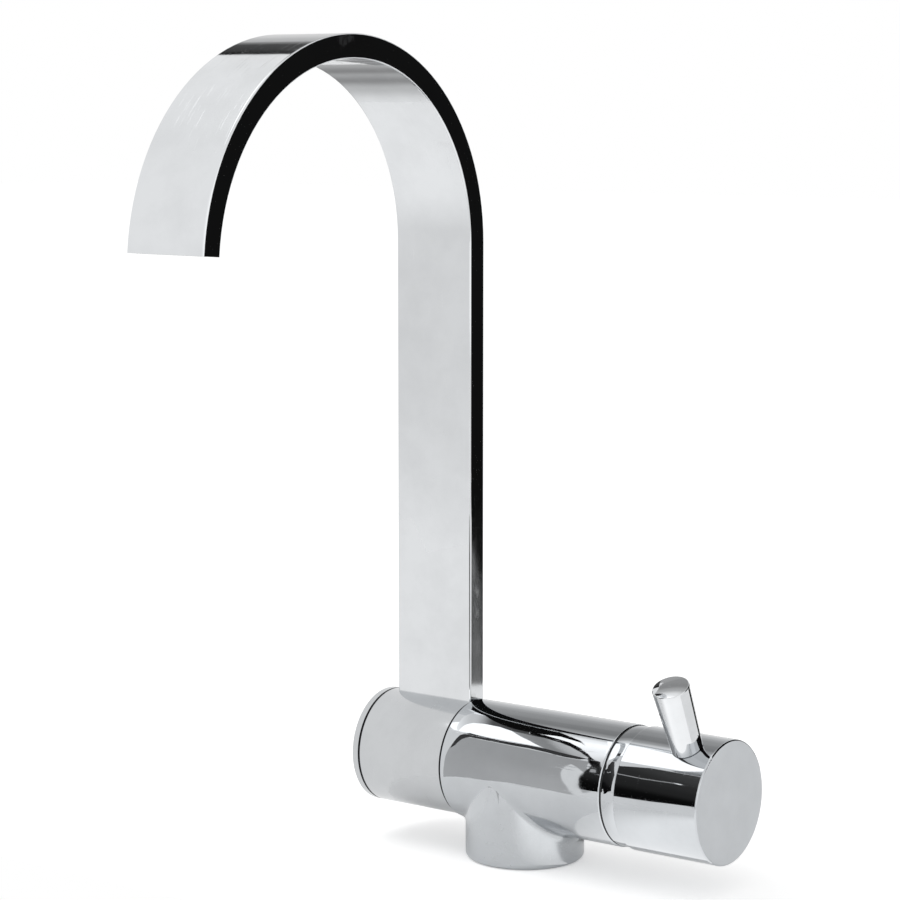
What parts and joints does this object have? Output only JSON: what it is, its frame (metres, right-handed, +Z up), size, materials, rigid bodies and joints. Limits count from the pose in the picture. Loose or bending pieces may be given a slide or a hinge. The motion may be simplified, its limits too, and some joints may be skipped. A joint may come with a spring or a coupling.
{
  "type": "folding kitchen mixer tap",
  "caption": "Fold-down kitchen mixer tap: horizontal barrel on a round neck, flat swan-neck spout that folds forward, side knob with a pin lever.",
  "frame": {"origin": "centre of the neck's round foot, on the plane of the worktop", "axes": "+X along the barrel towards the knob, -Y to the front where the spout reaches, +Z up"},
  "size_m": [0.1551, 0.1717, 0.3049],
  "materials": {
    "chrome_body": "mirror polished chrome plate on brass",
    "chrome_spout": "mirror polished chrome plate on brass",
    "chrome_knob": "mirror polished chrome plate on zinc",
    "brass": "machined brass",
    "steel": "stainless steel",
    "rubber_black": "moulded nitrile rubber",
    "acetal_white": "moulded acetal",
    "acetal_grey": "moulded acetal",
    "alumina": "lapped alumina"
  },
  "bodies": {
    "tap_body": {"body": "chrome_body", "foot_seal": "rubber_black", "stop_pin": "steel", "spigot_seal_left": "rubber_black", "spigot_seal_right": "rubber_black", "friction_washer": "steel", "thrust_washer": "acetal_white", "spigot_plug": "brass", "plug_seal": "rubber_black", "cartridge_base": "acetal_grey", "port_seals": "rubber_black", "fixed_disc": "alumina", "cartridge_housing": "acetal_white", "retaining_nut": "brass", "bonnet_ring": "chrome_body", "bonnet_seal": "rubber_black"},
    "spout": {"spout_tube": "chrome_spout", "spout_collar": "chrome_spout", "swivel_bush_left": "acetal_white", "swivel_bush_right": "acetal_white", "end_cap": "chrome_body", "outlet_insert": "acetal_grey"},
    "cartridge_rotor": {"rotor": "acetal_grey", "rotor_ring": "rubber_black", "pivot_pin": "steel"},
    "handle": {"stem": "brass", "knob": "chrome_knob", "grub_screw": "steel", "screw_cover": "acetal_grey", "lever_pin": "chrome_knob"},
    "valve_disc": {"moving_disc": "alumina", "disc_carrier": "acetal_white"}
  },
  "joints": [
    {"name": "spout_fold", "type": "hinge", "parent": "tap_body", "child": "spout", "pos_m": [-0.043, 0, 0.034], "axis": [1, 0, 0], "range_deg": [0, 90]},
    {"name": "temperature_turn", "type": "hinge", "parent": "tap_body", "child": "cartridge_rotor", "pos_m": [0.0498, 0, 0.034], "axis": [1, 0, 0], "range_deg": [-70.5, 49.5]},
    {"name": "flow_tilt", "type": "hinge", "parent": "cartridge_rotor", "child": "handle", "pos_m": [0.0498, 0, 0.034], "axis": [0, 0.9026, 0.4305], "range_deg": [0, 13]},
    {"name": "disc_slide", "type": "slide", "parent": "cartridge_rotor", "child": "valve_disc", "axis": [0, -0.4305, 0.9026], "range_m": [0, 0.0042]}
  ],
  "couplings": [
    {"joint": "disc_slide", "follows": "flow_tilt", "m_per_rad": 0.018}
  ]
}
